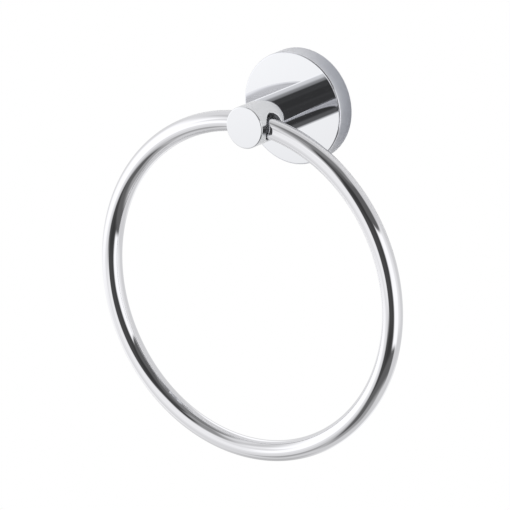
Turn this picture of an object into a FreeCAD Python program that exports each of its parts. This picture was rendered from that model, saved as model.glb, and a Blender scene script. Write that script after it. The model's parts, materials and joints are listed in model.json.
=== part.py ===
"""Wall-mounted towel ring: a round rosette, a turned post and a ring that swings in it.

Millimetres, +Z up. The wall is the plane y = 0 and the object stands out of it towards
-Y. The origin is the centre of the rosette's back, on the wall.
"""
import FreeCAD, Part
import math
import os

V = FreeCAD.Vector

# Rosette, the round cup against the wall
rosette_dia = 55.0
rosette_depth = 10.0
rosette_edge_round = 0.8
rosette_rim_wall = 2.5
rosette_face_wall = 2.4
rosette_corner_round = 1.0
rosette_back_chamfer = 0.3
seat_boss_dia = 18.0
seat_boss_height = 0.8

# Post, the turned bar that stands out of the rosette
post_dia = 20.5
post_reach = 50.0
post_edge_round = 0.6
spigot_dia = 9.0
spigot_flat_cut = 0.8
spigot_stop_short = 0.2
eye_setback = 10.0
eye_edge_round = 0.4

# Ring of round rod
ring_outer_dia = 172.0
rod_dia = 10.0
ring_butt_gap = 0.1
dowel_dia = 4.0
dowel_length = 14.0
dowel_end_chamfer = 0.4

# Screw and split washer that hold the post from behind
screw_thread_dia = 6.0
screw_length = 12.0
screw_tip_chamfer = 0.7
screw_head_dia = 10.5
screw_head_height = 3.3
screw_head_edge = 1.2
screw_hex_across = 4.0
screw_hex_depth = 2.0
washer_outer_dia = 11.8
washer_thickness = 1.6
washer_slit = 0.8
washer_slit_lean_deg = 20.0

# Wall plate inside the rosette
plate_floor = 3.0
plate_lip_height = 1.5
plate_rim_wall = 3.7
plate_corner_round = 0.8
plate_opening_dia = 17.0
slot_spacing = 27.0
slot_width = 5.0
slot_length = 6.5
slot_chamfer = 0.8

# Cone-pointed grub screw in the underside of the rosette's rim
grub_dia = 4.0
grub_above_floor = 1.0
grub_recess = 0.3
grub_tip_dia = 0.6
grub_hex_across = 2.0
grub_hex_depth = 1.5

# Clearances, each on the radius or between two faces
eye_play = 1.25
ring_rest_gap = 0.3
spigot_clearance = 0.1
thread_clearance = 0.05
dowel_clearance = 0.03
dowel_hole_extra = 0.5
washer_clearance = 0.15
tapped_hole_extra = 2.0
plate_clearance = 0.3
plate_face_gap = 0.6
cone_clearance = 0.05

# Radii and heights worked out from the sizes above; y is negative in front of the wall
rosette_r = rosette_dia / 2
cavity_r = rosette_r - rosette_rim_wall
cavity_y = rosette_face_wall - rosette_depth
boss_y = cavity_y + seat_boss_height
post_r = post_dia / 2
post_front_y = -post_reach
spigot_y = boss_y - spigot_stop_short
rod_r = rod_dia / 2
ring_r = ring_outer_dia / 2 - rod_r
eye_r = rod_r + eye_play
eye_y = post_front_y + eye_setback
screw_r = screw_thread_dia / 2
washer_y = boss_y + washer_thickness
plate_height = -cavity_y - plate_face_gap
plate_lip_r = cavity_r - plate_clearance
plate_bevel = plate_height - plate_lip_height - plate_floor
plate_base_r = plate_lip_r - plate_bevel
grub_from_wall = plate_floor + grub_above_floor

# The rod rests where its underside meets the eye's lower edge, at the mouths of the eye.
# The rod's middle stands higher than the rod does there, by the rod's own curve.
eye_mouth_x = math.sqrt(post_r ** 2 - eye_r ** 2)
rod_rise = ring_r - math.sqrt(ring_r ** 2 - eye_mouth_x ** 2)
ring_top_z = rod_r - eye_r + rod_rise + ring_rest_gap
ring_centre = V(0, eye_y, ring_top_z - ring_r)

# How near an edge must lie to the place asked for
match_within = 1e-4

ORIGIN = V(0, 0, 0)
X_AXIS = V(1, 0, 0)
Y_AXIS = V(0, 1, 0)
Z_AXIS = V(0, 0, 1)


def turned(outline):
    """A solid turned about the Y axis, from the corners (radius, y) of its half section."""
    corners = [V(radius, y, 0) for radius, y in outline]
    wire = Part.makePolygon(corners + corners[:1])
    return Part.Face(wire).revolve(ORIGIN, Y_AXIS, 360)


def bar(radius, y_from, y_to):
    """A round bar on the Y axis."""
    return Part.makeCylinder(radius, y_to - y_from, V(0, y_from, 0), Y_AXIS)


def circles(shape, radius, y):
    """The full round edges of this radius, centred on the Y axis at this height."""
    found = []
    for edge in shape.Edges:
        curve = edge.Curve
        if not isinstance(curve, Part.Circle):
            continue
        off_centre = curve.Center.distanceToPoint(V(0, y, 0))
        if abs(curve.Radius - radius) < match_within and off_centre < match_within:
            found.append(edge)
    return found


def hexagon_prism(across, base, direction, side, length):
    """A hexagonal prism: the socket of a screw. The side vector points at one flat."""
    corner_r = across / math.sqrt(3)
    turned_side = direction.cross(side)
    corners = []
    for i in range(6):
        angle = math.radians(30 + 60 * i)
        corners.append(base + side * (corner_r * math.cos(angle)) + turned_side * (corner_r * math.sin(angle)))
    wire = Part.makePolygon(corners + corners[:1])
    return Part.Face(wire).extrude(direction * length)


def keyed_bar(radius, flat_cut, y_from, y_to):
    """A round bar with one flat along its top, which keys the post in the rosette."""
    flat_z = radius - flat_cut
    above_flat = Part.makeBox(2 * radius, y_to - y_from, radius, V(-radius, y_from, flat_z))
    return bar(radius, y_from, y_to).cut(above_flat)


def make_rosette():
    """The cup: straight rim, flat face, an inside boss under the screw, open back."""
    boss_r = seat_boss_dia / 2
    cup = turned([
        (0, -rosette_depth),
        (rosette_r, -rosette_depth),
        (rosette_r, 0),
        (cavity_r, 0),
        (cavity_r, cavity_y),
        (boss_r, cavity_y),
        (boss_r, boss_y),
        (0, boss_y),
    ])
    cup = cup.makeFillet(rosette_edge_round, circles(cup, rosette_r, -rosette_depth))
    cup = cup.makeFillet(rosette_corner_round, circles(cup, cavity_r, cavity_y))
    cup = cup.makeChamfer(rosette_back_chamfer, circles(cup, rosette_r, 0))
    keyway = keyed_bar(spigot_dia / 2 + spigot_clearance, spigot_flat_cut, -rosette_depth, boss_y)
    grub_hole = Part.makeCylinder(
        grub_dia / 2 + thread_clearance, rosette_r, V(0, -grub_from_wall, -rosette_r), Z_AXIS
    )
    return cup.cut(keyway).cut(grub_hole)


def make_post():
    """The turned bar with its keyed spigot, tapped hole and round eye."""
    body = turned([
        (0, post_front_y),
        (post_r, post_front_y),
        (post_r, -rosette_depth),
        (0, -rosette_depth),
    ])
    body = body.makeFillet(post_edge_round, circles(body, post_r, post_front_y))
    body = body.fuse(keyed_bar(spigot_dia / 2, spigot_flat_cut, -rosette_depth, spigot_y))
    tapped_depth = screw_length + tapped_hole_extra
    tapped_hole = bar(screw_r + thread_clearance, washer_y - tapped_depth, 0)
    body = body.cut(tapped_hole)
    eye = Part.makeCylinder(eye_r, 2 * post_dia, V(-post_dia, eye_y, 0), X_AXIS)
    body = body.cut(eye)
    saddle_edges = [
        edge for edge in body.Edges
        if abs(edge.CenterOfMass.x) > eye_mouth_x and abs(edge.CenterOfMass.y - eye_y) < eye_r
        and not isinstance(edge.Curve, (Part.Line, Part.Circle))
    ]
    return body.makeFillet(eye_edge_round, saddle_edges)


def make_ring():
    """One rod bent round into a circle, its ends butted and drilled for the dowel."""
    section = Part.Face(Part.Wire(Part.makeCircle(rod_r, V(0, eye_y, ring_top_z), X_AXIS)))
    gap_angle = math.degrees(ring_butt_gap / ring_r)
    section.rotate(ring_centre, Y_AXIS, gap_angle / 2)
    rod = section.revolve(ring_centre, Y_AXIS, 360 - gap_angle)
    hole_length = dowel_length + 2 * dowel_hole_extra
    dowel_hole = Part.makeCylinder(
        dowel_dia / 2 + dowel_clearance, hole_length, V(-hole_length / 2, eye_y, ring_top_z), X_AXIS
    )
    return rod.cut(dowel_hole)


def make_ring_dowel():
    """The pin inside the two drilled ends of the ring."""
    pin = Part.makeCylinder(dowel_dia / 2, dowel_length, V(-dowel_length / 2, eye_y, ring_top_z), X_AXIS)
    end_edges = [edge for edge in pin.Edges if isinstance(edge.Curve, Part.Circle)]
    return pin.makeChamfer(dowel_end_chamfer, end_edges)


def make_post_screw():
    """Dome-headed screw with a hexagon socket, driven from the wall side."""
    head_r = screw_head_dia / 2
    head_y = washer_y + screw_head_height
    blank = turned([
        (0, washer_y - screw_length),
        (screw_r, washer_y - screw_length),
        (screw_r, washer_y),
        (head_r, washer_y),
        (head_r, head_y),
        (0, head_y),
    ])
    blank = blank.makeFillet(screw_head_edge, circles(blank, head_r, head_y))
    blank = blank.makeChamfer(screw_tip_chamfer, circles(blank, screw_r, washer_y - screw_length))
    socket = hexagon_prism(screw_hex_across, V(0, head_y, 0), -Y_AXIS, X_AXIS, screw_hex_depth)
    return blank.cut(socket)


def make_spring_washer():
    """Split washer between the screw's head and the rosette's boss."""
    washer = bar(washer_outer_dia / 2, boss_y, washer_y)
    washer = washer.cut(bar(screw_r + washer_clearance, boss_y, washer_y))
    slit = Part.makeBox(washer_slit, 4 * washer_thickness, washer_outer_dia)
    slit.translate(V(-washer_slit / 2, -2 * washer_thickness, 0))
    slit.rotate(ORIGIN, Z_AXIS, washer_slit_lean_deg)
    slit.translate(V(0, boss_y + washer_thickness / 2, 0))
    return washer.cut(slit)


def make_wall_plate():
    """The plate on the wall: floor, upstanding rim, and a lip bevelled underneath."""
    opening_r = plate_opening_dia / 2
    pocket_r = plate_lip_r - plate_rim_wall
    plate = turned([
        (opening_r, 0),
        (plate_base_r, 0),
        (plate_base_r, -plate_floor),
        (plate_lip_r, plate_lip_height - plate_height),
        (plate_lip_r, -plate_height),
        (pocket_r, -plate_height),
        (pocket_r, -plate_floor),
        (opening_r, -plate_floor),
    ])
    plate = plate.makeFillet(plate_corner_round, circles(plate, pocket_r, -plate_floor))
    for side in (-1, 1):
        plate = plate.cut(wall_slot(side * slot_spacing / 2))
    return plate


def slot_outline(centre_x, growth, y):
    """The outline of a level slot, grown evenly all round."""
    radius = slot_width / 2 + growth
    reach = (slot_length - slot_width) / 2
    right = centre_x + reach
    left = centre_x - reach
    edges = [
        Part.LineSegment(V(left, y, radius), V(right, y, radius)).toShape(),
        Part.Arc(V(right, y, radius), V(right + radius, y, 0), V(right, y, -radius)).toShape(),
        Part.LineSegment(V(right, y, -radius), V(left, y, -radius)).toShape(),
        Part.Arc(V(left, y, -radius), V(left - radius, y, 0), V(left, y, radius)).toShape(),
    ]
    return Part.Wire(edges)


def wall_slot(centre_x):
    """A level slot through the plate's floor, its front edge sloped for the screw's head."""
    wide = slot_outline(centre_x, slot_chamfer, -plate_floor)
    narrow = slot_outline(centre_x, 0, slot_chamfer - plate_floor)
    mouth = Part.makeLoft([wide, narrow], True)
    return mouth.fuse(Part.Face(narrow).extrude(V(0, plate_floor, 0)))


def make_grub_screw():
    """Set screw with a hexagon socket below and a cone on top that meets the bevel."""
    thread_r = grub_dia / 2
    tip_r = grub_tip_dia / 2
    bevel_r = plate_base_r + grub_above_floor
    apex_z = -bevel_r - cone_clearance
    outer_z = grub_recess - rosette_r
    corners = [
        (0, outer_z),
        (thread_r, outer_z),
        (thread_r, apex_z - thread_r),
        (tip_r, apex_z - tip_r),
        (0, apex_z - tip_r),
    ]
    points = [V(radius, -grub_from_wall, z) for radius, z in corners]
    half_section = Part.Face(Part.makePolygon(points + points[:1]))
    blank = half_section.revolve(V(0, -grub_from_wall, 0), Z_AXIS, 360)
    socket = hexagon_prism(grub_hex_across, V(0, -grub_from_wall, outer_z), Z_AXIS, X_AXIS, grub_hex_depth)
    return blank.cut(socket)


pieces = {
    "rosette": make_rosette(),
    "post": make_post(),
    "ring": make_ring(),
    "ring_dowel": make_ring_dowel(),
    "post_screw": make_post_screw(),
    "spring_washer": make_spring_washer(),
    "wall_plate": make_wall_plate(),
    "grub_screw": make_grub_screw(),
}

os.makedirs("parts", exist_ok=True)
for name, shape in pieces.items():
    solids = shape.Solids
    print(name, len(solids), "solid", "valid" if shape.isValid() else "BROKEN", round(shape.Volume, 1), "mm3")
    solids[0].exportStep("parts/" + name + ".step")
print("ring hinge on the X axis at y", round(eye_y, 3), "z", round(ring_top_z, 3))
reach_to_wall = -eye_y - rod_r
print("ring meets the wall at", round(math.degrees(math.asin(reach_to_wall / (2 * ring_r))), 2), "degrees")
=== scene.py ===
"""Polished chrome towel ring on its round rosette, in a white studio.

Metres, +Z up. The wall is the plane y = 0 and the object stands out of it towards -Y.
"""

import json
import math

import bmesh
import bpy
import numpy as np
from mathutils import Matrix, Vector


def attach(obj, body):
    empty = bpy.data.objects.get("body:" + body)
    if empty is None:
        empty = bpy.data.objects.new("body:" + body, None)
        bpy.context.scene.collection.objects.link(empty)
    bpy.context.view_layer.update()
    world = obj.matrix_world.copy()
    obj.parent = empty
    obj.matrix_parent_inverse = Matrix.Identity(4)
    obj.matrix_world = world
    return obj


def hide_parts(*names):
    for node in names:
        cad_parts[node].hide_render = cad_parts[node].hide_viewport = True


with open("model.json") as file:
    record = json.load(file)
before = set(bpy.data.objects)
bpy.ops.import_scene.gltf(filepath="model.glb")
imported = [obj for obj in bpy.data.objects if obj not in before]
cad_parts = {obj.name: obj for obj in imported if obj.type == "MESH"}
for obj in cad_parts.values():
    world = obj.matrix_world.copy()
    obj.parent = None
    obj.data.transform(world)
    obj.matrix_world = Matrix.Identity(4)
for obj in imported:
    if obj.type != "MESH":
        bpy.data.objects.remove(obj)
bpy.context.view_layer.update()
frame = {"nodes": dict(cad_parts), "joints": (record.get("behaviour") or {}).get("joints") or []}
scene = bpy.context.scene
scene.view_settings.view_transform = "Standard"
MM = 0.001


# Camera
# A long lens some three metres off, to the right of the object and a little above it.
camera_azimuth = math.radians(34.07)
camera_elevation = math.radians(18.87)
camera_roll = math.radians(2.04)
camera_distance = 3.0556
camera_lens_mm = 455.11
camera_aim = Vector((0.00210, -0.04007, -0.06527))

towards_camera = Vector((
    math.sin(camera_azimuth) * math.cos(camera_elevation),
    -math.cos(camera_azimuth) * math.cos(camera_elevation),
    math.sin(camera_elevation),
))
level_right = Vector((math.cos(camera_azimuth), math.sin(camera_azimuth), 0))
level_up = towards_camera.cross(level_right)
image_right = math.cos(camera_roll) * level_right + math.sin(camera_roll) * level_up
image_up = math.cos(camera_roll) * level_up - math.sin(camera_roll) * level_right

camera = bpy.data.objects.new("camera", bpy.data.cameras.new("camera"))
scene.collection.objects.link(camera)
camera.data.sensor_width = 36
camera.data.lens = camera_lens_mm
camera.data.clip_end = 50
camera.matrix_world = (
    Matrix.Translation(camera_aim + towards_camera * camera_distance)
    @ Matrix((image_right, image_up, towards_camera)).transposed().to_4x4()
)
scene.camera = camera


# Studio
# A white room with large soft boxes. The unlit side behind the camera and the dark cards
# give polished metal its black bands. Each panel is (azimuth of its middle, half width,
# softness of its sides, lowest and highest elevation, softness of each, brightness).
def srgb(code):
    """A colour written as sRGB hex, as linear RGBA."""
    parts = [int(code[i:i + 2], 16) / 255 for i in (1, 3, 5)]
    linear = [p / 12.92 if p <= 0.04045 else ((p + 0.055) / 1.055) ** 2.4 for p in parts]
    return (*linear, 1.0)


def add(tree, kind, settings=None, links=None):
    """Adds a node with its settings, and sets or links its inputs."""
    node = tree.nodes.new(kind)
    for name, value in (settings or {}).items():
        setattr(node, name, value)
    for socket, value in (links or {}).items():
        if isinstance(value, bpy.types.NodeSocket):
            tree.links.new(value, node.inputs[socket])
        else:
            node.inputs[socket].default_value = value
    return node


ALL_ROUND = 400
studio_white = 0.90
studio_panels = {
    "ceiling": (0, ALL_ROUND, 1, 60, 100, 12, 1, 0.75),
    "ceiling_front": (24, 100, 50, 60, 100, 14, 1, 0.27),
    "floor": (0, ALL_ROUND, 1, -100, -58, 1, 14, 0.79),
    "wall": (164, 72, 39, -58, 60, 22, 10, 0.82),
    "low_box_left": (-120, 48, 27, -46, -17, 13, 12, 1.17),
    "low_box_back": (-166, 34, 20, -60, -30, 10, 10, 1.14),
    "floor_back_left": (-128, 30, 16, -66, -38, 8, 8, 0.80),
    "grey_card_back": (-138, 10, 10, -62, -22, 8, 8, 0.62),
    "front_box_left": (-56, 36, 30, -24, 25, 18, 18, 1.34),
    "front_wall": (-14, 19.8, 3, -19, 22, 10, 14, 1.12),
    "front_wall_above": (-36, 9, 6, 4, 22, 6, 8, 0.98),
    "front_wall_below": (-32, 14, 10, -30, -17.9, 8, 3, 1.00),
    "strip_box_back": (-146, 20, 14, 15, 41, 9, 10, 1.33),
    "grey_strip_left": (-56, 22, 14, 34, 46, 6, 8, 0.75),
    "upper_front": (-13, 22, 16, 25, 60, 16, 10, 0.36),
    "floor_dark_left": (-112, 24, 14, -80, -56, 8, 8, 0.60),
    "floor_seam": (-34, 16, 10, -62, -47, 6, 5, 0.49),
    "floor_front": (26, 43, 30, -74, -19, 12, 8, 0.42),
    "floor_front_dark": (4, 14, 12, -57, -30, 8, 8, 0.14),
    "floor_near_dark": (40, 50, 16, -50, -22, 14, 8, 0.15),
    "camera_side": (27, 28.2, 10, -33, 62, 6, 16, 0.076),
    "camera_side_below": (10, 24, 8, -33, -20, 6, 8, 0.076),
    "camera_side_above": (10, 25, 8, 27, 44, 6, 10, 0.070),
    "dark_card_high": (60, 48, 20, 30, 62, 4, 14, 0.14),
    "camera_side_core": (24, 15, 12, -31, 44, 6, 16, 0.053),
    "camera_side_middle": (17, 17, 6, -20, 20, 8, 8, 0.080),
    "soft_box_glow": (104, 26, 30, -22, 30, 12, 8, 1.02),
    "soft_box_right": (78, 23, 20, -30, 3, 5, 10, 1.31),
    "soft_box_right_high": (80.5, 21, 21, -6, 30, 8, 4, 1.31),
}
plain_light = 0.86

panel_group = bpy.data.node_groups.new("soft_panel", "ShaderNodeTree")
for name in (
    "azimuth", "elevation", "below", "middle", "side_outer", "side_inner",
    "low_outer", "low_inner", "high_outer", "high_inner", "brightness",
):
    panel_group.interface.new_socket(name, in_out="INPUT", socket_type="NodeSocketFloat")
panel_group.interface.new_socket("light", in_out="OUTPUT", socket_type="NodeSocketFloat")
given = panel_group.nodes.new("NodeGroupInput").outputs
offset = add(
    panel_group, "ShaderNodeMath", {"operation": "SUBTRACT"}, {0: given["azimuth"], 1: given["middle"]}
)
turned = add(
    panel_group, "ShaderNodeMath", {"operation": "WRAP"}, {0: offset.outputs[0], 1: 180, 2: -180}
)
aside = add(panel_group, "ShaderNodeMath", {"operation": "ABSOLUTE"}, {0: turned.outputs[0]})
inside = None
for value, outer, inner in (
    (aside.outputs[0], "side_outer", "side_inner"),
    (given["elevation"], "low_outer", "low_inner"),
    (given["elevation"], "high_outer", "high_inner"),
):
    edge = add(
        panel_group, "ShaderNodeMapRange", {"interpolation_type": "SMOOTHSTEP"},
        {"Value": value, "From Min": given[outer], "From Max": given[inner]},
    ).outputs["Result"]
    if inside is not None:
        both = add(panel_group, "ShaderNodeMath", {"operation": "MULTIPLY"}, {0: inside, 1: edge})
        edge = both.outputs[0]
    inside = edge
laid_over = add(
    panel_group, "ShaderNodeMix", {"data_type": "FLOAT"},
    {0: inside, 2: given["below"], 3: given["brightness"]},
)
add(panel_group, "NodeGroupOutput", None, {"light": laid_over.outputs[0]})

world = bpy.data.worlds.new("studio")
scene.world = world
world.use_nodes = True
world.cycles.sampling_method = "NONE"
room = world.node_tree
room.nodes.clear()
direction = add(
    room, "ShaderNodeSeparateXYZ", None,
    {0: add(room, "ShaderNodeTexCoord").outputs["Generated"]},
)
minus_y = add(room, "ShaderNodeMath", {"operation": "MULTIPLY"}, {0: direction.outputs["Y"], 1: -1.0})
azimuth = add(
    room, "ShaderNodeMath", {"operation": "ARCTAN2"},
    {0: direction.outputs["X"], 1: minus_y.outputs[0]},
)
azimuth = add(room, "ShaderNodeMath", {"operation": "DEGREES"}, {0: azimuth.outputs[0]})
elevation = add(room, "ShaderNodeMath", {"operation": "ARCSINE"}, {0: direction.outputs["Z"]})
elevation = add(room, "ShaderNodeMath", {"operation": "DEGREES"}, {0: elevation.outputs[0]})
light = studio_white
for name, (middle, half, side, low, high, low_soft, high_soft, brightness) in studio_panels.items():
    panel = add(room, "ShaderNodeGroup", {"node_tree": panel_group, "name": name, "label": name}, {
        "azimuth": azimuth.outputs[0],
        "elevation": elevation.outputs[0],
        "below": light,
        "middle": middle,
        "side_outer": half + side / 2,
        "side_inner": half - side / 2,
        "low_outer": low - low_soft / 2,
        "low_inner": low + low_soft / 2,
        "high_outer": high + high_soft / 2,
        "high_inner": high - high_soft / 2,
        "brightness": brightness,
    })
    light = panel.outputs["light"]
rays = add(room, "ShaderNodeLightPath").outputs
seen_in_metal = add(
    room, "ShaderNodeMath", {"operation": "MAXIMUM"},
    {0: rays["Is Glossy Ray"], 1: rays["Is Transmission Ray"]},
)
for_surfaces = add(
    room, "ShaderNodeMix", {"data_type": "FLOAT"},
    {0: seen_in_metal.outputs[0], 2: plain_light, 3: light},
)
for_camera = add(
    room, "ShaderNodeMix", {"data_type": "FLOAT"},
    {0: rays["Is Camera Ray"], 2: for_surfaces.outputs[0], 3: 1.0},
)
background = add(
    room, "ShaderNodeBackground", None,
    {"Color": (1, 1, 1, 1), "Strength": for_camera.outputs[0]},
)
add(room, "ShaderNodeOutputWorld", None, {"Surface": background.outputs[0]})


# Studio floor
# A pale painted floor a metre below, matt and nearly white. Its underside lets the camera
# look through.
floor_height = -1.0
floor_radius = 2.0
floor_sides = 96


def empty_material(name):
    """A material without nodes, and its node tree."""
    material = bpy.data.materials.new(name)
    material.use_nodes = True
    material.node_tree.nodes.clear()
    return material, material.node_tree


floor_corners = []
for i in range(floor_sides):
    angle = 2 * math.pi * i / floor_sides
    floor_corners.append((floor_radius * math.cos(angle), floor_radius * math.sin(angle), floor_height))
floor_mesh = bpy.data.meshes.new("studio_floor")
floor_mesh.from_pydata(floor_corners, [], [list(range(floor_sides))])
floor = bpy.data.objects.new("studio_floor", floor_mesh)
scene.collection.objects.link(floor)
floor.visible_glossy = False
paint, tree = empty_material("pale_matt_floor_paint")
matt = add(tree, "ShaderNodeBsdfDiffuse", None, {"Color": srgb("#F4F4F3")})
underside = add(tree, "ShaderNodeMixShader", None, {
    0: add(tree, "ShaderNodeNewGeometry").outputs["Backfacing"],
    1: matt.outputs[0],
    2: add(tree, "ShaderNodeBsdfTransparent").outputs[0],
})
add(tree, "ShaderNodeOutputMaterial", None, {"Surface": underside.outputs[0]})
floor.data.materials.append(paint)


# Studio wall
# The matt white wall close round the rosette, with the rosette's soft cool-grey shadow
# painted into its colour on the right. Only polished metal sees it, and it fades out into the white
# room.
wall_inner_r = 0.0277
wall_outer_r = 0.105
wall_fade_r = 0.075
# Where the painted shadow lies: to the right of the axis, and close to the rosette's rim.
shade_from = 0.002
shade_to = 0.030
shade_angle = math.radians(15)
shade_towards = (math.cos(shade_angle), 0, math.sin(shade_angle))
shade_inner_r = 0.0315
shade_outer_r = 0.038
wall_y = 0.00005
wall_steps = 192
wall_corners, wall_faces = [], []
for i in range(wall_steps):
    angle = 2 * math.pi * i / wall_steps
    for radius in (wall_inner_r, wall_outer_r):
        wall_corners.append((radius * math.cos(angle), wall_y, radius * math.sin(angle)))
    nearer, further = 2 * i, 2 * ((i + 1) % wall_steps)
    wall_faces.append((nearer, nearer + 1, further + 1, further))
wall_mesh = bpy.data.meshes.new("studio_wall")
wall_mesh.from_pydata(wall_corners, [], wall_faces)
wall = bpy.data.objects.new("studio_wall", wall_mesh)
scene.collection.objects.link(wall)
wall.visible_camera = False
wall.visible_diffuse = False
wall.visible_shadow = False
wall_paint_and_painted_shadow, tree = empty_material("pale_matt_wall_paint_and_painted_shadow")
place = add(tree, "ShaderNodeTexCoord").outputs["Object"]
from_axis = add(tree, "ShaderNodeVectorMath", {"operation": "LENGTH"}, {0: place})
near_rim = add(tree, "ShaderNodeMapRange", {"interpolation_type": "SMOOTHSTEP"}, {
    "Value": from_axis.outputs["Value"], "From Min": shade_outer_r, "From Max": shade_inner_r,
})
sideways = add(
    tree, "ShaderNodeVectorMath", {"operation": "DOT_PRODUCT"}, {0: place, 1: shade_towards}
)
to_the_right = add(tree, "ShaderNodeMapRange", {"interpolation_type": "SMOOTHSTEP"}, {
    "Value": sideways.outputs["Value"], "From Min": shade_from, "From Max": shade_to,
})
shade = add(tree, "ShaderNodeMath", {"operation": "MULTIPLY"}, {
    0: near_rim.outputs["Result"], 1: to_the_right.outputs["Result"],
})
# Painted shadow: the wall's white turns cool grey close to the rim on the right.
shaded = add(tree, "ShaderNodeMix", {"data_type": "RGBA"}, {
    "Factor": shade.outputs[0], 6: srgb("#F6F6F6"), 7: srgb("#C9CBCF"),
})
fade = add(tree, "ShaderNodeMapRange", {"interpolation_type": "SMOOTHSTEP"}, {
    "Value": from_axis.outputs["Value"], "From Min": wall_fade_r, "From Max": wall_outer_r,
})
faded = add(tree, "ShaderNodeMixShader", None, {
    0: fade.outputs["Result"],
    1: add(tree, "ShaderNodeBsdfDiffuse", None, {"Color": shaded.outputs[2]}).outputs[0],
    2: add(tree, "ShaderNodeBsdfTransparent").outputs[0],
})
add(tree, "ShaderNodeOutputMaterial", None, {"Surface": faded.outputs[0]})
wall.data.materials.append(wall_paint_and_painted_shadow)


# Low lamp
# A small soft lamp held low in front of the ring's right side, which mirrors it. It fades
# out towards its edges, and only the surfaces that the camera sees directly mirror it.
# Each fade is (direction, where the light starts, where it is full), in shares of the lamp.
low_lamp_middle = (0.0322, -0.0883, 0.0244)
low_lamp_width = 0.084
low_lamp_height = 0.044
low_lamp_turn = math.radians(-33.2)
low_lamp_tilt = math.radians(-9)
low_lamp_light = 0.84
low_lamp_near_light = 0.60
low_lamp_near_end = (0.17, 0.39)
low_lamp_fades = (("Y", 0.0, 0.35), ("Y", 1.0, 0.28), ("X", 1.0, 0.45))
first_mirror_only = 1.5
low_lamp = bpy.data.objects.new("low_lamp", bpy.data.lights.new("low_lamp", "AREA"))
scene.collection.objects.link(low_lamp)
low_lamp.data.shape = "RECTANGLE"
low_lamp.data.size = low_lamp_width
low_lamp.data.size_y = low_lamp_height
low_lamp.data.energy = math.pi * low_lamp_width * low_lamp_height
low_lamp.matrix_world = (
    Matrix.Translation(low_lamp_middle)
    @ Matrix.Rotation(low_lamp_turn, 4, "Z")
    @ Matrix.Rotation(math.radians(90), 4, "X")
    @ Matrix.Rotation(low_lamp_tilt, 4, "Z")
)
low_lamp.visible_camera = False
low_lamp.visible_diffuse = False
low_lamp.data.use_nodes = True
tree = low_lamp.data.node_tree
tree.nodes.clear()
spot = add(
    tree, "ShaderNodeSeparateXYZ", None,
    {0: add(tree, "ShaderNodeNewGeometry").outputs["Parametric"]},
)
level = add(tree, "ShaderNodeMapRange", {"interpolation_type": "SMOOTHSTEP"}, {
    "Value": spot.outputs["X"], "From Min": low_lamp_near_end[0], "From Max": low_lamp_near_end[1],
    "To Min": low_lamp_near_light, "To Max": low_lamp_light,
}).outputs["Result"]
for along, none, full in low_lamp_fades:
    fade = add(tree, "ShaderNodeMapRange", {"interpolation_type": "SMOOTHSTEP"}, {
        "Value": spot.outputs[along], "From Min": none, "From Max": full,
    })
    faded = add(
        tree, "ShaderNodeMath", {"operation": "MULTIPLY"}, {0: level, 1: fade.outputs["Result"]}
    )
    level = faded.outputs[0]
seen_at_once = add(tree, "ShaderNodeMath", {"operation": "LESS_THAN"}, {
    0: add(tree, "ShaderNodeLightPath").outputs["Glossy Depth"], 1: first_mirror_only,
})
shown = add(tree, "ShaderNodeMath", {"operation": "MULTIPLY"}, {0: level, 1: seen_at_once.outputs[0]})
glow = add(tree, "ShaderNodeEmission", None, {"Strength": shown.outputs[0]})
add(tree, "ShaderNodeOutputLight", None, {"Surface": glow.outputs[0]})


# Key lamp
# One large soft lamp, high on the left, for the shade of matt surfaces.
key_lamp_width = 1.2
key_lamp_watts = 9
key_lamp_place = (-1.0, -1.4, 1.3)
key_lamp_aim = Vector((0, 0, -0.08))
lamp = bpy.data.objects.new("key_lamp", bpy.data.lights.new("key_lamp", "AREA"))
scene.collection.objects.link(lamp)
lamp.data.shape = "SQUARE"
lamp.data.size = key_lamp_width
lamp.data.energy = key_lamp_watts
lamp.location = key_lamp_place
lamp.rotation_euler = (key_lamp_aim - lamp.location).to_track_quat("-Z", "Y").to_euler()
lamp.visible_glossy = False


# Ring
# One length of round brass rod bent into a circle, chrome plated and polished. Its two
# ends butt together inside the post's eye, and each is drilled for a dowel.
ring_outer_dia = 172.0
rod_dia = 10.0
butt_gap = 0.1
drilled_dia = 4.06
drilled_length = 15.0
ring_steps = 1024
rod_steps = 72
ring_corner = math.radians(40)


def polished_chrome(name, colour, haze_mm, wave_mm):
    """Bright chrome plate, buffed: a cool mirror with the faintest waves and buffing haze."""
    material, tree = empty_material(name)
    place = add(tree, "ShaderNodeTexCoord").outputs["Object"]
    haze = add(
        tree, "ShaderNodeTexNoise", None, {"Vector": place, "Scale": 1 / (haze_mm * MM), "Detail": 4.0}
    )
    roughness = add(tree, "ShaderNodeMapRange", None, {
        "Value": haze.outputs["Fac"], "From Min": 0.3, "From Max": 0.75,
        "To Min": 0.02, "To Max": 0.05,
    })
    waves = add(
        tree, "ShaderNodeTexNoise", None, {"Vector": place, "Scale": 1 / (wave_mm * MM), "Detail": 1.0}
    )
    bump = add(
        tree, "ShaderNodeBump", None,
        {"Strength": 1.0, "Distance": 0.004 * MM, "Height": waves.outputs["Fac"]},
    )
    plate = add(tree, "ShaderNodeBsdfPrincipled", None, {
        "Base Color": srgb(colour),
        "Metallic": 1.0,
        "Roughness": roughness.outputs["Result"],
        "Normal": bump.outputs["Normal"],
    })
    add(tree, "ShaderNodeOutputMaterial", None, {"Surface": plate.outputs[0]})
    return material


def piece_from_mesh(name, mesh, *materials):
    """A piece whose place is in its mesh."""
    finishes = [0] * len(mesh.polygons)
    mesh.polygons.foreach_get("material_index", finishes)
    mesh.materials.clear()
    for material in materials:
        mesh.materials.append(material)
    mesh.polygons.foreach_set("material_index", finishes)
    piece = bpy.data.objects.new(name, mesh)
    scene.collection.objects.link(piece)
    return piece


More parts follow.
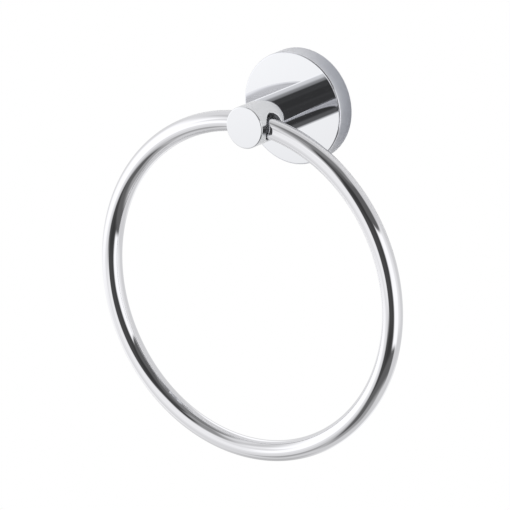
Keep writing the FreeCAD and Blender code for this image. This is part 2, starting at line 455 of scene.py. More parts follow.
ring_chrome = polished_chrome("polished_chrome_on_bent_rod", "#E0E0E3", 3.0, 14.0)
ring_tree = bpy.data.node_groups.new("bent_rod", "GeometryNodeTree")
ring_sizes = {
    "ring radius": (ring_outer_dia - rod_dia) / 2 * MM,
    "rod radius": rod_dia / 2 * MM,
    "drilled radius": drilled_dia / 2 * MM,
    "drilled length": drilled_length * MM,
    "first end": math.radians(90) + butt_gap / (ring_outer_dia - rod_dia),
    "sweep": math.radians(360) - 2 * butt_gap / (ring_outer_dia - rod_dia),
}
socket_of = {}
for name in ring_sizes:
    socket = ring_tree.interface.new_socket(name, in_out="INPUT", socket_type="NodeSocketFloat")
    socket_of[name] = socket.identifier
ring_tree.interface.new_socket("Geometry", in_out="OUTPUT", socket_type="NodeSocketGeometry")
given = ring_tree.nodes.new("NodeGroupInput").outputs
middle_line = add(ring_tree, "GeometryNodeCurveArc", {"mode": "RADIUS"}, {
    "Resolution": ring_steps,
    "Radius": given["ring radius"],
    "Start Angle": given["first end"],
    "Sweep Angle": given["sweep"],
})
section = add(
    ring_tree, "GeometryNodeCurvePrimitiveCircle", {"mode": "RADIUS"},
    {"Resolution": rod_steps, "Radius": given["rod radius"]},
)
rod = add(ring_tree, "GeometryNodeCurveToMesh", None, {
    "Curve": middle_line.outputs["Curve"],
    "Profile Curve": section.outputs["Curve"],
    "Fill Caps": True,
})
upright = add(
    ring_tree, "GeometryNodeTransform", None,
    {"Geometry": rod.outputs["Mesh"], "Rotation": (math.radians(90), 0, 0)},
)
drill = add(ring_tree, "GeometryNodeMeshCylinder", None, {
    "Vertices": rod_steps, "Radius": given["drilled radius"], "Depth": given["drilled length"],
})
top_of_ring = add(ring_tree, "ShaderNodeCombineXYZ", None, {"Z": given["ring radius"]})
drill_across = add(ring_tree, "GeometryNodeTransform", None, {
    "Geometry": drill.outputs["Mesh"],
    "Translation": top_of_ring.outputs[0],
    "Rotation": (0, math.radians(90), 0),
})
drilled = add(
    ring_tree, "GeometryNodeMeshBoolean", {"operation": "DIFFERENCE", "solver": "EXACT"},
    {"Mesh 1": upright.outputs["Geometry"], "Mesh 2": drill_across.outputs["Geometry"]},
)
corner = add(ring_tree, "FunctionNodeCompare", {"data_type": "FLOAT", "operation": "GREATER_THAN"}, {
    0: add(ring_tree, "GeometryNodeInputMeshEdgeAngle").outputs["Unsigned Angle"],
    1: ring_corner,
})
smooth = add(
    ring_tree, "GeometryNodeSetShadeSmooth", {"domain": "FACE"},
    {"Geometry": drilled.outputs["Mesh"], "Shade Smooth": True},
)
creased = add(
    ring_tree, "GeometryNodeSetShadeSmooth", {"domain": "EDGE"},
    {"Geometry": smooth.outputs["Geometry"], "Selection": corner.outputs[0], "Shade Smooth": False},
)
hung = add(ring_tree, "GeometryNodeTransform", None, {
    "Geometry": creased.outputs["Geometry"],
    "Translation": Vector(frame["joints"][0]["pos_m"]) - Vector((0, 0, ring_sizes["ring radius"])),
})
real = add(ring_tree, "GeometryNodeRealizeInstances", None, {"Geometry": hung.outputs["Geometry"]})
plated = add(
    ring_tree, "GeometryNodeSetMaterial", None,
    {"Geometry": real.outputs["Geometry"], "Material": ring_chrome},
)
add(ring_tree, "NodeGroupOutput", None, {"Geometry": plated.outputs["Geometry"]})


def built_by(tree, sockets, sizes, name):
    """The plain mesh that a node tree makes from these sizes."""
    holder = bpy.data.objects.new(name + "_source", bpy.data.meshes.new(name + "_source"))
    scene.collection.objects.link(holder)
    modifier = holder.modifiers.new("build", "NODES")
    modifier.node_group = tree
    for size, value in sizes.items():
        modifier[sockets[size]] = value
    depsgraph = bpy.context.evaluated_depsgraph_get()
    mesh = bpy.data.meshes.new_from_object(holder.evaluated_get(depsgraph))
    mesh.name = name
    bpy.data.objects.remove(holder)
    return mesh


ring_mesh = built_by(ring_tree, socket_of, ring_sizes, "ring_rod")
ring = piece_from_mesh("ring_rod", ring_mesh, ring_chrome)
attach(ring, "ring")
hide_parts("ring")


# Post
# A bar turned from brass, chrome plated and polished, with a flat front face and a round
# eye across it. A keyed spigot and a tapped hole at its back fasten it to the rosette.
post_dia = 20.5
post_reach = 50.0
post_edge_round = 0.6
eye_dia = 12.5
eye_y = -40.0
eye_edge_round = 0.4
eye_frame_half = 8.5
eye_frame_steps = 24
post_side_steps = 40
spigot_dia = 9.0
spigot_flat_z = 3.7
spigot_y = -7.0
shoulder_y = -10.0
tapped_dia = 6.1
tapped_end_y = -19.2
mouth_wall_rows = 7
mouth_crowding = 1.5
mouth_edge_rows = 9


def straight(start, end, steps=1):
    """A straight run of a half section: points (radius, y) and the normals on its right."""
    start, end = np.array(start, float), np.array(end, float)
    along = (end - start) / np.linalg.norm(end - start)
    share = np.linspace(0, 1, steps + 1)[:, None]
    points = start + (end - start) * share
    normals = np.repeat([[along[1], -along[0]]], steps + 1, axis=0)
    return points, normals


def rounded(centre, radius, first_deg, last_deg, steps=8):
    """An arc of a half section. Turning left it is convex, turning right it is concave."""
    angle = np.radians(np.linspace(first_deg, last_deg, steps + 1))
    outward = np.stack([np.cos(angle), np.sin(angle)], -1)
    side = 1 if last_deg > first_deg else -1
    return np.array(centre) + radius * outward, side * outward


def turn(run, columns):
    """The surface that a run of the half section sweeps about the Y axis."""
    points, normals = run
    across = np.stack([np.cos(columns), np.zeros(len(columns)), np.sin(columns)], -1)
    y_axis = np.array([0.0, 1.0, 0.0])
    place = points[:, None, :1] * across + points[:, None, 1:] * y_axis
    normal = normals[:, None, :1] * across + normals[:, None, 1:] * y_axis
    return place, normal


def hole_mouth(radius, hole_r, edge_round, centre_y, half_angle, half_y, steps, inner=1):
    """A round hole's mouth in a round wall, round the direction +X, in a square frame.

    Gives the wall between hole and frame, the rounded edge, and the last points on the
    bore. An inner wall faces the axis.
    """
    ramp = np.linspace(-1, 1, steps + 1)[:-1]
    one = np.ones(steps)
    frame_angle = half_angle * np.concatenate([ramp, one, -ramp, -one, [-1]])
    frame_y = half_y * np.concatenate([-one, ramp, one, -ramp, [-1]])
    phi = np.arctan2(radius * np.sin(frame_angle), frame_y)
    ball = edge_round * inner
    ball_z = (hole_r + edge_round) * np.sin(phi)
    ball_y = (hole_r + edge_round) * np.cos(phi)
    ball_x = np.sqrt((radius - ball) ** 2 - ball_z ** 2)
    middle = np.stack([ball_x, centre_y + ball_y, ball_z], -1)
    wall_normal = np.stack([ball_x, 0 * ball_x, ball_z], -1) / (radius - ball)
    bore_normal = np.stack([0 * phi, -np.cos(phi), -np.sin(phi)], -1)
    meets = middle + ball * wall_normal
    meets_angle = np.arctan2(meets[:, 2], meets[:, 0])
    share = np.linspace(0, 1, mouth_wall_rows)[:, None] ** mouth_crowding
    angle = meets_angle + (frame_angle - meets_angle) * share
    y = meets[:, 1] + (centre_y + frame_y - meets[:, 1]) * share
    wall = np.stack([radius * np.cos(angle), y, radius * np.sin(angle)], -1)
    wall_normals = inner * np.stack([np.cos(angle), 0 * angle, np.sin(angle)], -1)
    grids = [(wall, wall_normals)]
    if edge_round:
        between = np.arccos((wall_normal * bore_normal).sum(-1))[:, None]
        part = np.linspace(0, 1, mouth_edge_rows)[:, None, None]
        swing = (
            np.sin((1 - part) * between) * wall_normal + np.sin(part * between) * bore_normal
        ) / np.sin(between)
        grids.append((middle + edge_round * swing, swing))
    return grids, middle + edge_round * bore_normal, bore_normal


def mirrored(grid):
    """The same surface on the other side of the plane x = 0."""
    place, normal = grid
    flip = np.array([-1.0, 1.0, 1.0])
    return place * flip, normal * flip


def mesh_of(name, grids, inner_grids=()):
    """One closed mesh from grids of points in millimetres, each with its true normals.

    The faces of the inner grids take the second material.
    """
    numbers, corners, faces, normals, finishes = {}, [], [], [], []
    for place, normal, finish in [(*grid, 0) for grid in grids] + [(*grid, 1) for grid in inner_grids]:
        rows, columns = place.shape[:2]
        for i in range(rows - 1):
            for j in range(columns - 1):
                face, facing = [], []
                for a, b in ((i, j), (i + 1, j), (i + 1, j + 1), (i, j + 1)):
                    point = place[a, b]
                    key = tuple(np.round(point, 5) + 0.0)
                    if key not in numbers:
                        numbers[key] = len(corners)
                        corners.append(point * MM)
                    if numbers[key] not in face:
                        face.append(numbers[key])
                        facing.append(normal[a, b])
                if len(face) < 3:
                    continue
                ends = [corners[k] for k in face]
                across = np.cross(ends[1] - ends[0], ends[2] - ends[0])
                if len(face) == 4:
                    across = across + np.cross(ends[2] - ends[0], ends[3] - ends[0])
                if across @ sum(facing) < 0:
                    face.reverse()
                    facing.reverse()
                faces.append(face)
                finishes.append(finish)
                normals.extend(facing)
    mesh = bpy.data.meshes.new(name)
    mesh.from_pydata([tuple(c) for c in corners], [], faces)
    mesh.polygons.foreach_set("use_smooth", [True] * len(faces))
    mesh.polygons.foreach_set("material_index", finishes)
    mesh.normals_split_custom_set([tuple(n) for n in normals])
    return mesh


def keyed(radius, flat_z, columns):
    """The radius of a round bar with a flat along its top, at each column."""
    rise = np.maximum(np.sin(columns), 1e-6)
    return np.minimum(radius, flat_z / rise)


def outline(columns, radii, y):
    """The points of one outline about the Y axis."""
    return np.stack([radii * np.cos(columns), np.full(len(columns), y), radii * np.sin(columns)], -1)


def spread(columns, inner, outer, normal_y):
    """A flat face between two outlines given as (radii, y)."""
    place = np.stack([outline(columns, radii, y) for radii, y in (inner, outer)])
    normal = np.zeros_like(place)
    normal[..., 1] = normal_y
    return place, normal


def wall_between(columns, radii, y_from, y_to, side):
    """A straight wall that follows an outline along Y, facing out or in."""
    place = np.stack([outline(columns, radii, y) for y in (y_from, y_to)])
    tangent = np.gradient(place[0], axis=0)
    out = np.stack([tangent[:, 2], 0 * tangent[:, 0], -tangent[:, 0]], -1)
    out /= np.linalg.norm(out, axis=-1, keepdims=True)
    return place, np.stack([side * out, side * out])


post_r = post_dia / 2
frame_angle = eye_frame_half / post_r
quarter = [
    np.linspace(-frame_angle, frame_angle, eye_frame_steps + 1)[:-1],
    np.linspace(frame_angle, math.pi - frame_angle, post_side_steps + 1)[:-1],
]
post_columns = np.concatenate([quarter[0], quarter[1], quarter[0] + math.pi, quarter[1] + math.pi])
post_columns = np.append(post_columns, post_columns[0] + 2 * math.pi)
upper_side = np.linspace(frame_angle, math.pi - frame_angle, post_side_steps + 1)
front_of_frame = eye_y - eye_frame_half
back_of_frame = eye_y + eye_frame_half
mouth, bore_edge, bore_normal = hole_mouth(
    post_r, eye_dia / 2, eye_edge_round, eye_y, frame_angle, eye_frame_half, eye_frame_steps
)
bore = (
    np.stack([bore_edge, bore_edge * np.array([-1.0, 1.0, 1.0])]),
    np.stack([bore_normal, bore_normal]),
)
spigot_radii = keyed(spigot_dia / 2, spigot_flat_z, post_columns)
tapped_r = tapped_dia / 2
front_flat_r = post_r - post_edge_round
front_edge_y = post_edge_round - post_reach
beside_eye = straight((post_r, front_of_frame), (post_r, back_of_frame), eye_frame_steps)
post_grids = [
    turn(straight((0, -post_reach), (front_flat_r, -post_reach)), post_columns),
    turn(rounded((front_flat_r, front_edge_y), post_edge_round, -90, 0), post_columns),
    turn(straight((post_r, front_edge_y), (post_r, front_of_frame)), post_columns),
    *mouth,
    *[mirrored(grid) for grid in mouth],
    turn(beside_eye, upper_side),
    turn(beside_eye, upper_side + math.pi),
    turn(straight((post_r, back_of_frame), (post_r, shoulder_y)), post_columns),
    spread(post_columns, (spigot_radii, shoulder_y), (post_r, shoulder_y), 1),
    wall_between(post_columns, spigot_radii, shoulder_y, spigot_y, 1),
    spread(post_columns, (tapped_r, spigot_y), (spigot_radii, spigot_y), 1),
    turn(straight((tapped_r, spigot_y), (tapped_r, tapped_end_y)), post_columns),
    turn(straight((tapped_r, tapped_end_y), (0, tapped_end_y)), post_columns),
]
post_chrome = polished_chrome("polished_chrome_on_turned_bar", "#E0E1E4", 2.5, 12.0)


def wave_scale(period_mm):
    """The scale at which a wave texture repeats in this length. At scale 1 it takes 0.314."""
    return 0.314 / (period_mm * MM)


# The plate inside the eye gets no buffing. To the eye it is dull grey with the drill's fine
# rings, half metal and half matt, so that it stays dark and soft beside the mirror of the bar.
bore_plate, tree = empty_material("unbuffed_chrome_plate_in_drilled_hole")
place = add(tree, "ShaderNodeTexCoord").outputs["Object"]
drill_marks = add(
    tree, "ShaderNodeTexWave", {"wave_type": "BANDS", "bands_direction": "X"},
    {"Vector": place, "Scale": wave_scale(0.35), "Distortion": 1.5, "Detail": 2.0},
)
marked = add(tree, "ShaderNodeBump", None, {
    "Strength": 0.5, "Distance": 0.02 * MM, "Height": drill_marks.outputs["Fac"],
})
plate = add(tree, "ShaderNodeBsdfPrincipled", None, {
    "Base Color": srgb("#C4C6C9"),
    "Metallic": 0.5,
    "Roughness": 0.55,
    "Normal": marked.outputs["Normal"],
})
add(tree, "ShaderNodeOutputMaterial", None, {"Surface": plate.outputs[0]})
post = piece_from_mesh("post_bar", mesh_of("post_bar", post_grids, [bore]), post_chrome, bore_plate)
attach(post, "wall_holder")
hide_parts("post")


# Rosette
# A shallow cup turned from brass, chrome plated and polished, that hides the wall plate. The
# post stands in its keyed hole, and a tapped hole in its rim's underside takes a screw.
rosette_r = 27.5
rosette_depth = 10.0
rosette_edge_round = 0.8
back_chamfer = 0.3
cavity_r = 25.0
cavity_y = -7.6
cavity_corner_round = 1.0
boss_r = 9.0
boss_y = -6.8
key_hole_r = 4.6
key_flat_z = 3.8
screw_hole_r = 2.05
screw_hole_y = -4.0
rim_frame_half = 2.9
cavity_frame_half = 2.5
rim_frame_steps = 10
rim_side_steps = 248


def turned_down(grid):
    """The same surface with what pointed along +X pointing down."""
    place, normal = grid
    turned = np.array([[0.0, 0.0, -1.0], [0.0, 1.0, 0.0], [1.0, 0.0, 0.0]])
    return place @ turned, normal @ turned


rim_angle = rim_frame_half / rosette_r
rim_side = np.linspace(rim_angle, 2 * math.pi - rim_angle, rim_side_steps + 1) - math.pi / 2
rim_columns = np.concatenate([
    np.linspace(-rim_angle, rim_angle, rim_frame_steps + 1)[:-1] - math.pi / 2,
    rim_side,
])
rim_mouth, rim_bore, rim_bore_normal = hole_mouth(
    rosette_r, screw_hole_r, 0, screw_hole_y, rim_angle, rim_frame_half, rim_frame_steps
)
cavity_mouth, cavity_bore, cavity_bore_normal = hole_mouth(
    cavity_r, screw_hole_r, 0, screw_hole_y, rim_angle, cavity_frame_half, rim_frame_steps, inner=-1
)
screw_bore = (np.stack([rim_bore, cavity_bore]), np.stack([rim_bore_normal, cavity_bore_normal]))
key_radii = keyed(key_hole_r, key_flat_z, rim_columns)
rim_front = screw_hole_y - rim_frame_half
rim_back = screw_hole_y + rim_frame_half
cavity_front = screw_hole_y - cavity_frame_half
cavity_back = screw_hole_y + cavity_frame_half
corner_y = cavity_y + cavity_corner_round
flat_r = rosette_r - rosette_edge_round
edge_y = rosette_edge_round - rosette_depth
rim_grids = [
    turn(rounded((flat_r, edge_y), rosette_edge_round, -90, 0), rim_columns),
    turn(straight((rosette_r, edge_y), (rosette_r, rim_front)), rim_columns),
    turn(straight((rosette_r, rim_front), (rosette_r, rim_back), rim_frame_steps), rim_side),
    *[turned_down(grid) for grid in rim_mouth],
    turn(straight((rosette_r, rim_back), (rosette_r, -back_chamfer)), rim_columns),
    turn(straight((rosette_r, -back_chamfer), (rosette_r - back_chamfer, 0)), rim_columns),
]
cup_grids = [
    spread(rim_columns, (key_radii, -rosette_depth), (flat_r, -rosette_depth), -1),
    turn(straight((rosette_r - back_chamfer, 0), (cavity_r, 0)), rim_columns),
    turn(straight((cavity_r, 0), (cavity_r, cavity_back)), rim_columns),
    turn(straight((cavity_r, cavity_back), (cavity_r, cavity_front), rim_frame_steps), rim_side),
    *[turned_down(grid) for grid in cavity_mouth],
    turned_down(screw_bore),
    turn(straight((cavity_r, cavity_front), (cavity_r, corner_y)), rim_columns),
    turn(rounded((cavity_r - cavity_corner_round, corner_y), cavity_corner_round, 0, -90), rim_columns),
    turn(straight((cavity_r - cavity_corner_round, cavity_y), (boss_r, cavity_y)), rim_columns),
    turn(straight((boss_r, cavity_y), (boss_r, boss_y)), rim_columns),
    spread(rim_columns, (key_radii, boss_y), (boss_r, boss_y), 1),
    wall_between(rim_columns, key_radii, boss_y, -rosette_depth, -1),
]
rosette_chrome = polished_chrome("polished_chrome_on_turned_cup", "#E0E1E4", 3.0, 16.0)
# The rim is buffed less than the face: a satin, slightly blue chrome with fine grain and
# faint blotches, which blurs the room to one soft grey.
rim_chrome, tree = empty_material("buffed_chrome_on_turned_rim")
place = add(tree, "ShaderNodeTexCoord").outputs["Object"]
grain = add(
    tree, "ShaderNodeTexNoise", None, {"Vector": place, "Scale": 1 / (0.45 * MM), "Detail": 3.0}
)
buffing = add(tree, "ShaderNodeBump", None, {
    "Strength": 1.0, "Distance": 0.012 * MM, "Height": grain.outputs["Fac"],
})
blotches = add(
    tree, "ShaderNodeTexNoise", None, {"Vector": place, "Scale": 1 / (2.5 * MM), "Detail": 2.0}
)
haze = add(tree, "ShaderNodeMapRange", None, {
    "Value": blotches.outputs["Fac"], "From Min": 0.3, "From Max": 0.7, "To Min": 0.16, "To Max": 0.26,
})
plate = add(tree, "ShaderNodeBsdfPrincipled", None, {
    "Base Color": srgb("#E0E1E6"),
    "Metallic": 1.0,
    "Roughness": haze.outputs["Result"],
    "Normal": buffing.outputs["Normal"],
})
add(tree, "ShaderNodeOutputMaterial", None, {"Surface": plate.outputs[0]})
rosette_mesh = mesh_of("rosette_cup", cup_grids, rim_grids)
rosette = piece_from_mesh("rosette_cup", rosette_mesh, rosette_chrome, rim_chrome)
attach(rosette, "wall_holder")
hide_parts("rosette")


# Wall plate
# A round plate turned from steel and zinc plated, screwed to the wall through two level
# slots. The bevel under its lip takes the point of the rosette's screw.
plate_base_r = 22.2
plate_lip_r = 24.7
plate_floor_y = -3.0
lip_back_y = -5.5
plate_front_y = -7.0
pocket_r = 21.0
pocket_round = 0.8
opening_r = 8.5
slot_middle_x = 13.5
slot_r = 2.5
slot_reach = 0.75
slot_chamfer = 0.8
cut_over = 0.1
plate_corner_deg = 25
plate_steps = 240
slot_steps = 64


def zinc_plate(name, colour, groove_mm, haze):
    """Zinc plate on turned steel: satin, bluish, with the lathe's fine rings about Y.

    The rings are drawn a few times coarser than real ones, so that they show.
    """
    material, tree = empty_material(name)
    place = add(tree, "ShaderNodeTexCoord").outputs["Object"]
    rings = add(tree, "ShaderNodeTexWave", {"wave_type": "RINGS", "rings_direction": "Y"}, {
        "Vector": place,
        "Scale": wave_scale(groove_mm),
        "Distortion": 0.4,
        "Detail": 2.0,
        "Detail Scale": 3.0,
    })
    grooves = add(tree, "ShaderNodeBump", None, {
        "Strength": 0.6, "Distance": 0.012 * MM, "Height": rings.outputs["Fac"],
    })
    clouds = add(
        tree, "ShaderNodeTexNoise", None, {"Vector": place, "Scale": 1 / (6 * MM), "Detail": 4.0}
    )
    tint = add(tree, "ShaderNodeMix", {"data_type": "RGBA"}, {
        "Factor": clouds.outputs["Fac"], 6: srgb(colour), 7: srgb("#D9D8CF"),
    })
    roughness = add(tree, "ShaderNodeMapRange", None, {
        "Value": clouds.outputs["Fac"], "From Min": 0.3, "From Max": 0.7,
        "To Min": haze - 0.05, "To Max": haze + 0.07,
    })
    zinc = add(tree, "ShaderNodeBsdfPrincipled", None, {
        "Base Color": tint.outputs[2],
        "Metallic": 1.0,
        "Roughness": roughness.outputs["Result"],
        "Normal": grooves.outputs["Normal"],
    })
    add(tree, "ShaderNodeOutputMaterial", None, {"Surface": zinc.outputs[0]})
    return material


def outline_about(x, radii, y, columns, normal_y=0.0):
    """One row of a surface round the line x along Y, and its normals."""
    across = np.stack([np.cos(columns), np.zeros(len(columns)), np.sin(columns)], -1)
    place = np.array([x, y, 0.0]) + np.asarray(radii)[..., None] * across
    normal = (1 - abs(normal_y)) * across + normal_y * np.array([0.0, 1.0, 0.0])
    return place, normal


def cut_from(blank, cutters, corner_deg):
    """The blank with the cutters taken out, smooth but for its corners."""
    made = []
    for mesh in (blank, *cutters):
        made.append(bpy.data.objects.new(mesh.name + "_blank", mesh))
        scene.collection.objects.link(made[-1])
    for cutter in made[1:]:
        modifier = made[0].modifiers.new("cut", "BOOLEAN")
        modifier.operation = "DIFFERENCE"
        modifier.solver = "EXACT"
        modifier.object = cutter
    depsgraph = bpy.context.evaluated_depsgraph_get()
    mesh = bpy.data.meshes.new_from_object(made[0].evaluated_get(depsgraph))
    for leftover in made:
        bpy.data.objects.remove(leftover)
    if mesh.has_custom_normals:
        mesh.attributes.remove(mesh.attributes["custom_normal"])
    mesh.set_sharp_from_angle(angle=math.radians(corner_deg))
    return mesh


plate_columns = np.linspace(0, 2 * math.pi, plate_steps + 1)
plate_grids = [
    turn(run, plate_columns) for run in (
        straight((plate_base_r, 0), (opening_r, 0)),
        straight((plate_base_r, plate_floor_y), (plate_base_r, 0)),
        straight((plate_lip_r, lip_back_y), (plate_base_r, plate_floor_y)),
        straight((plate_lip_r, plate_front_y), (plate_lip_r, lip_back_y)),
        straight((pocket_r, plate_front_y), (plate_lip_r, plate_front_y)),
        straight((pocket_r, plate_floor_y - pocket_round), (pocket_r, plate_front_y)),
        rounded((pocket_r - pocket_round, plate_floor_y - pocket_round), pocket_round, 90, 0),
        straight((opening_r, plate_floor_y), (pocket_r - pocket_round, plate_floor_y)),
        straight((opening_r, 0), (opening_r, plate_floor_y)),
    )
]
slot_columns = np.linspace(0, 2 * math.pi, slot_steps + 1)
slot_sine = np.abs(np.sin(slot_columns))
slot_cosine = np.abs(np.cos(slot_columns))
slot_levels = (
    (slot_chamfer + cut_over, plate_floor_y - cut_over),
    (0.0, plate_floor_y + slot_chamfer),
    (0.0, cut_over),
)
slot_cutters = []
for side in (-1, 1):
    rows = []
    for growth, y in slot_levels:
        end_r = slot_r + growth
        on_round_end = slot_reach * slot_cosine + np.sqrt(end_r ** 2 - (slot_reach * slot_sine) ** 2)
        on_flat = end_r / np.maximum(slot_sine, 1e-6)
        radii = np.where(slot_cosine * on_flat < slot_reach, on_flat, on_round_end)
        rows.append(outline_about(side * slot_middle_x, radii, y, slot_columns))
    centre = np.zeros(len(slot_columns))
    grids = [(np.stack([a[0], b[0]]), np.stack([a[1], b[1]])) for a, b in zip(rows, rows[1:])]
    for (growth, y), row, facing in ((slot_levels[0], rows[0], -1.0), (slot_levels[2], rows[2], 1.0)):
        middle, normal = outline_about(side * slot_middle_x, centre, y, slot_columns, facing)
        grids.append((np.stack([middle, row[0]]), np.stack([normal, normal])))
    slot_cutters.append(mesh_of("slot_cutter", grids))
plate_zinc = zinc_plate("zinc_plate_on_turned_plate", "#C3CAD4", 0.22, 0.36)
plate_mesh = cut_from(mesh_of("wall_plate_blank", plate_grids), slot_cutters, plate_corner_deg)
wall_plate = piece_from_mesh("slotted_wall_plate", plate_mesh, plate_zinc)
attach(wall_plate, "wall_holder")
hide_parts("wall_plate")


# Post screw
# A dome-headed M6 machine screw of zinc-plated steel, driven with a hexagon key from the
# wall side. It pulls the post against the rosette over a split washer.
screw_r = 3.0
screw_pitch = 1.0
screw_tip_y = -17.2
screw_tip_chamfer = 0.7
head_back_y = -5.2
head_y = -1.9
head_r = 5.25
head_edge = 1.2
head_hex_across = 4.0
head_hex_depth = 2.0
screw_steps = 96
rows_per_turn = 10
thread_depth_share = 0.61
thread_flat_share = 0.1


def threaded(radius, pitch, y_from, y_to, tip_chamfer, columns):
    """A screw's thread along Y with its tip at y_from, crests on the plain radius."""
    depth = thread_depth_share * pitch
    rows = int(round((y_to - y_from) / pitch * rows_per_turn))
    y = np.linspace(y_from, y_to, rows + 1)[:, None] + 0 * columns
    turns = y / pitch + columns / (2 * math.pi)
    to_root = 1 - np.abs(2 * (turns % 1.0) - 1)
    flank = np.clip((to_root - thread_flat_share) / (1 - 2 * thread_flat_share), 0, 1)
    radii = radius - depth * flank
    radii = np.minimum(radii, radius - tip_chamfer + (y - y_from))
    place = np.stack([radii * np.cos(columns), y, radii * np.sin(columns)], -1)
    along = np.gradient(place, axis=0)
    round_it = np.gradient(place, axis=1)
    round_it[:, 0] = round_it[:, -1] = place[:, 1] - place[:, -2]
    normal = np.cross(along, round_it)
    normal *= np.sign((normal[..., 0] * np.cos(columns) + normal[..., 2] * np.sin(columns)))[..., None]
    return place, normal / np.linalg.norm(normal, axis=-1, keepdims=True)


def hexagon_radii(across, columns):
    """A hexagon's radius at each column, one flat towards +X."""
    sixth = math.pi / 3
    return across / 2 / np.cos((columns + sixth / 2) % sixth - sixth / 2)


def hexagon_walls(across, y_from, y_to, steps):
    """The six walls of a hexagon socket along Y, facing its axis."""
    walls = []
    for i in range(6):
        middle = i * math.pi / 3
        columns = np.linspace(middle - math.pi / 6, middle + math.pi / 6, steps // 6 + 1)
        radii = across / 2 / np.cos(columns - middle)
        rows = [outline_about(0, radii, y, columns)[0] for y in (y_from, y_to)]
        inward = np.array([-math.cos(middle), 0.0, -math.sin(middle)])
        walls.append((np.stack(rows), np.tile(inward, (2, len(columns), 1))))
    return walls


def closed_columns(steps):
    """Columns all round, one on each corner of a hexagon, the last one on the first."""
    return np.linspace(-math.pi / 6, 2 * math.pi - math.pi / 6, steps + 1)


screw_columns = closed_columns(screw_steps)
shank = threaded(screw_r, screw_pitch, screw_tip_y, head_back_y, screw_tip_chamfer, screw_columns)
end_of_thread_radii = np.linalg.norm(shank[0][0][:, ::2], axis=-1)
neck_radii = np.linalg.norm(shank[0][-1][:, ::2], axis=-1)
head_hex_radii = hexagon_radii(head_hex_across, screw_columns)
socket_y = head_y - head_hex_depth
screw_grids = [
    spread(screw_columns, (0.0, screw_tip_y), (end_of_thread_radii, screw_tip_y), -1),
    shank,
    spread(screw_columns, (neck_radii, head_back_y), (head_r, head_back_y), -1),
    turn(straight((head_r, head_back_y), (head_r, head_y - head_edge)), screw_columns),
    turn(rounded((head_r - head_edge, head_y - head_edge), head_edge, 0, 90), screw_columns),
    spread(screw_columns, (head_hex_radii, head_y), (head_r - head_edge, head_y), 1),
    *hexagon_walls(head_hex_across, head_y, socket_y, screw_steps),
    spread(screw_columns, (0.0, socket_y), (head_hex_radii, socket_y), 1),
]
screw_zinc = zinc_plate("zinc_plate_on_rolled_screw", "#BFC6D2", 0.3, 0.30)
post_screw = piece_from_mesh("post_screw_m6", mesh_of("post_screw_m6", screw_grids), screw_zinc)
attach(post_screw, "wall_holder")
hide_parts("post_screw")


# Grub screw
# A cone-pointed M4 set screw of zinc-plated steel in the underside of the rosette's rim.
# A small hexagon key turns it up against the plate's bevel.
grub_r = 2.0
grub_pitch = 0.7
grub_y = -4.0
grub_outer_z = -27.2
grub_apex_z = -23.25
grub_tip_r = 0.3
cone_normal_y = -0.5
grub_hex_across = 2.0
grub_hex_depth = 1.5
grub_steps = 72


def pointed_down(grid):
    """A surface made along Y, turned so that its far end points down, on the grub's line."""
    place, normal = grid
    turned = np.array([[1.0, 0.0, 0.0], [0.0, 0.0, -1.0], [0.0, 1.0, 0.0]])
    return place @ turned + np.array([0.0, grub_y, 0.0]), normal @ turned


grub_columns = closed_columns(grub_steps)
cone_y = -grub_apex_z + grub_r
grub_end_y = -grub_outer_z
grub_shank = threaded(grub_r, grub_pitch, cone_y, grub_end_y, 0.0, grub_columns)
cone_radii = np.linalg.norm(grub_shank[0][0][:, ::2], axis=-1)
end_radii = np.linalg.norm(grub_shank[0][-1][:, ::2], axis=-1)
grub_hex_radii = hexagon_radii(grub_hex_across, grub_columns)
grub_socket_y = grub_end_y - grub_hex_depth
point_y = -grub_apex_z + grub_tip_r
tip_radii = np.full(len(grub_columns), grub_tip_r)
cone_base = outline_about(0, cone_radii, cone_y, grub_columns, cone_normal_y)
cone_top = outline_about(0, tip_radii, point_y, grub_columns, cone_normal_y)
cone = (np.stack([cone_top[0], cone_base[0]]), np.stack([cone_top[1], cone_base[1]]))
cone = (cone[0], cone[1] / np.linalg.norm(cone[1], axis=-1, keepdims=True))
grub_grids = [
    spread(grub_columns, (0.0, point_y), (grub_tip_r, point_y), -1),
    cone,
    grub_shank,
    spread(grub_columns, (grub_hex_radii, grub_end_y), (end_radii, grub_end_y), 1),
    *hexagon_walls(grub_hex_across, grub_end_y, grub_socket_y, grub_steps),
    spread(grub_columns, (0.0, grub_socket_y), (grub_hex_radii, grub_socket_y), 1),
]
grub_zinc = zinc_plate("zinc_plate_on_set_screw", "#B9C0CC", 0.25, 0.30)
grub_mesh = mesh_of("grub_screw_m4", [pointed_down(grid) for grid in grub_grids])
grub_screw = piece_from_mesh("grub_screw_m4", grub_mesh, grub_zinc)
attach(grub_screw, "wall_holder")
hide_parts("grub_screw")


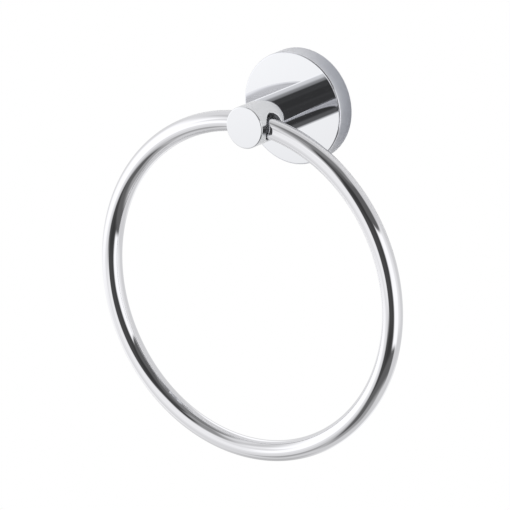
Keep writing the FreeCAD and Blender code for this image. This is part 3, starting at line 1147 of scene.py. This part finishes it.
# Spring washer
# A split washer of zinc-plated spring steel, flattened under the post screw's head. Its
# slit is sawn aslant.
washer_bore_r = 3.15
washer_r = 5.9
washer_front_y = -6.8
washer_back_y = -5.2
washer_slit = 0.8
washer_slit_lean = math.radians(20)
washer_corner_deg = 25
washer_steps = 96
washer_columns = np.linspace(0, 2 * math.pi, washer_steps + 1)
washer_grids = [
    turn(run, washer_columns) for run in (
        straight((washer_bore_r, washer_front_y), (washer_r, washer_front_y)),
        straight((washer_r, washer_front_y), (washer_r, washer_back_y)),
        straight((washer_r, washer_back_y), (washer_bore_r, washer_back_y)),
        straight((washer_bore_r, washer_back_y), (washer_bore_r, washer_front_y)),
    )
]
saw_middle = Vector((0, (washer_front_y + washer_back_y) / 2, washer_r)) * MM
saw_cut = bpy.data.meshes.new("washer_saw_cut")
saw_shape = bmesh.new()
bmesh.ops.create_cube(saw_shape, size=1.0, matrix=(
    Matrix.Translation(saw_middle)
    @ Matrix.Rotation(washer_slit_lean, 4, "Z")
    @ Matrix.Diagonal((washer_slit * MM, washer_r * MM, 2 * washer_r * MM, 1))
))
saw_shape.to_mesh(saw_cut)
saw_shape.free()
washer_zinc = zinc_plate("zinc_plate_on_spring_steel", "#BCC3CF", 0.4, 0.34)
washer_mesh = cut_from(mesh_of("washer_blank", washer_grids), [saw_cut], washer_corner_deg)
spring_washer = piece_from_mesh("split_washer", washer_mesh, washer_zinc)
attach(spring_washer, "wall_holder")
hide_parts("spring_washer")


# Ring dowel
# A bare turned brass pin pressed into the two drilled ends of the ring, out of sight. To
# the eye it is a warm yellow metal with fine tool marks and a little tarnish.
brass, tree = empty_material("turned_bare_brass_pin")
place = add(tree, "ShaderNodeTexCoord").outputs["Object"]
tool_marks = add(
    tree, "ShaderNodeTexWave", {"wave_type": "BANDS", "bands_direction": "X"},
    {"Vector": place, "Scale": wave_scale(0.2), "Distortion": 0.5, "Detail": 2.0},
)
marked = add(tree, "ShaderNodeBump", None, {
    "Strength": 0.6, "Distance": 0.01 * MM, "Height": tool_marks.outputs["Fac"],
})
tarnish = add(
    tree, "ShaderNodeTexNoise", None, {"Vector": place, "Scale": 1 / (2 * MM), "Detail": 4.0}
)
tone = add(tree, "ShaderNodeMix", {"data_type": "RGBA"}, {
    "Factor": tarnish.outputs["Fac"], 6: srgb("#E2C578"), 7: srgb("#C7A354"),
})
bare = add(tree, "ShaderNodeBsdfPrincipled", None, {
    "Base Color": tone.outputs[2],
    "Metallic": 1.0,
    "Roughness": 0.28,
    "Normal": marked.outputs["Normal"],
})
add(tree, "ShaderNodeOutputMaterial", None, {"Surface": bare.outputs[0]})
dowel_mesh = frame["nodes"]["ring_dowel"].data
dowel_mesh.materials.clear()
dowel_mesh.materials.append(brass)
